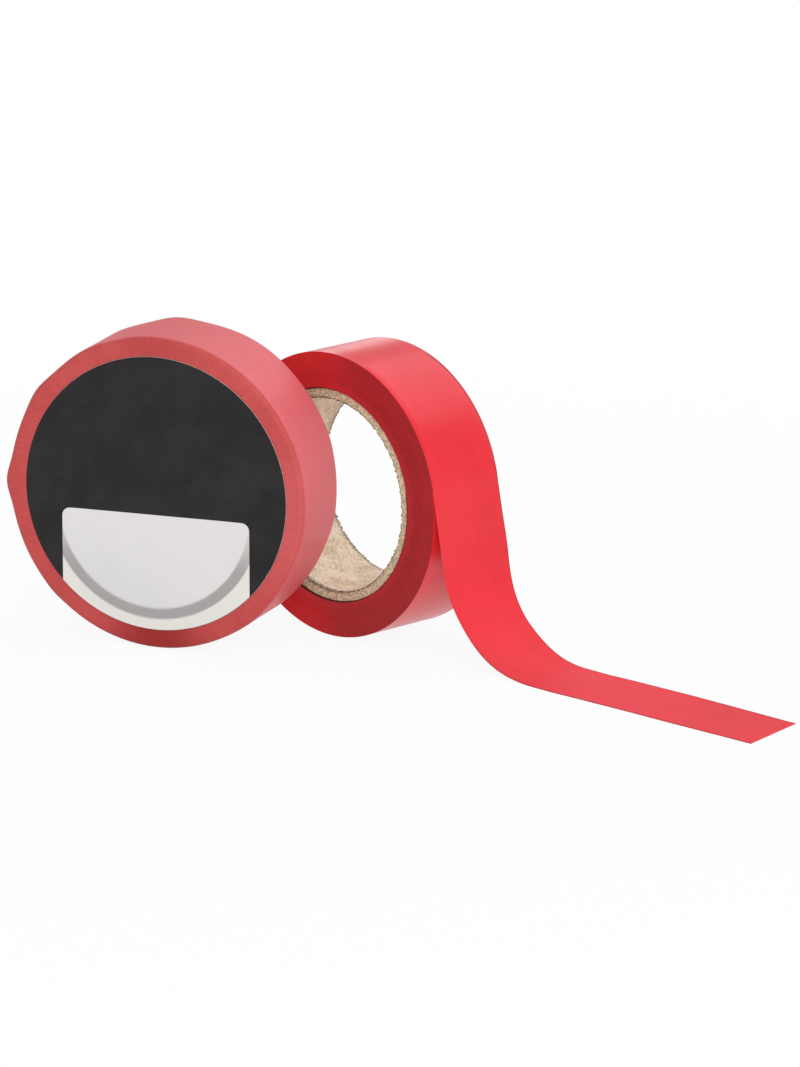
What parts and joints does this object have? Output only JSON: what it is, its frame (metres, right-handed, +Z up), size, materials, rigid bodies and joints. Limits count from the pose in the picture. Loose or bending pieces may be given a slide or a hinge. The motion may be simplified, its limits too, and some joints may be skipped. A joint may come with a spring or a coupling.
{
  "type": "electrical tape roll",
  "caption": "Red PVC electrical tape rolls standing on their rims: a sealed roll with a blank round label, and an opened roll with a free tail.",
  "frame": {"origin": "middle of the whole set's bounding box, on the surface that it stands on", "axes": "+X is the way the free tail runs along the surface, +Y is the opened roll's axis from its near side to its far side, +Z is up"},
  "size_m": [0.1624, 0.0608, 0.0618],
  "materials": {
    "core_board": "raw brown chipboard with fibres, cut and slightly ragged at the ends",
    "tape_pvc": "red plasticised PVC tape with a soft satin sheen",
    "shrink_film": "thin milky shrink film tight over red tape",
    "label_paper": "plain charcoal label with a smooth coated surface",
    "sticker_paper": "plain white coated paper panel"
  },
  "bodies": {
    "tail": {"tail_curve": "tape_pvc"},
    "tail_flap": {"tail_end": "tape_pvc"},
    "opened_roll": {"open_core_inner_ply": "core_board", "open_core_middle_ply": "core_board", "open_core_outer_ply": "core_board", "open_winding": "tape_pvc"},
    "sealed_roll": {"sealed_core_inner_ply": "core_board", "sealed_core_middle_ply": "core_board", "sealed_core_outer_ply": "core_board", "sealed_winding": "tape_pvc", "shrink_film": "shrink_film", "label_disc": "label_paper", "label_sticker": "sticker_paper"}
  },
  "joints": [
    {"name": "roll_spin", "type": "hinge", "parent": "tail", "child": "opened_roll", "pos_m": [-0.0287, 0.02144, 0.0283], "axis": [0, 1, 0], "continuous": true},
    {"name": "tail_lift", "type": "hinge", "parent": "tail", "child": "tail_flap", "pos_m": [0.0249, 0.02144, 0.00007], "axis": [0, -1, 0], "range_deg": [0, 80]},
    {"name": "sealed_roll_lift", "type": "slide", "parent": "tail", "child": "sealed_roll", "axis": [0, 0, 1], "range_m": [0, 0.08]}
  ]
}
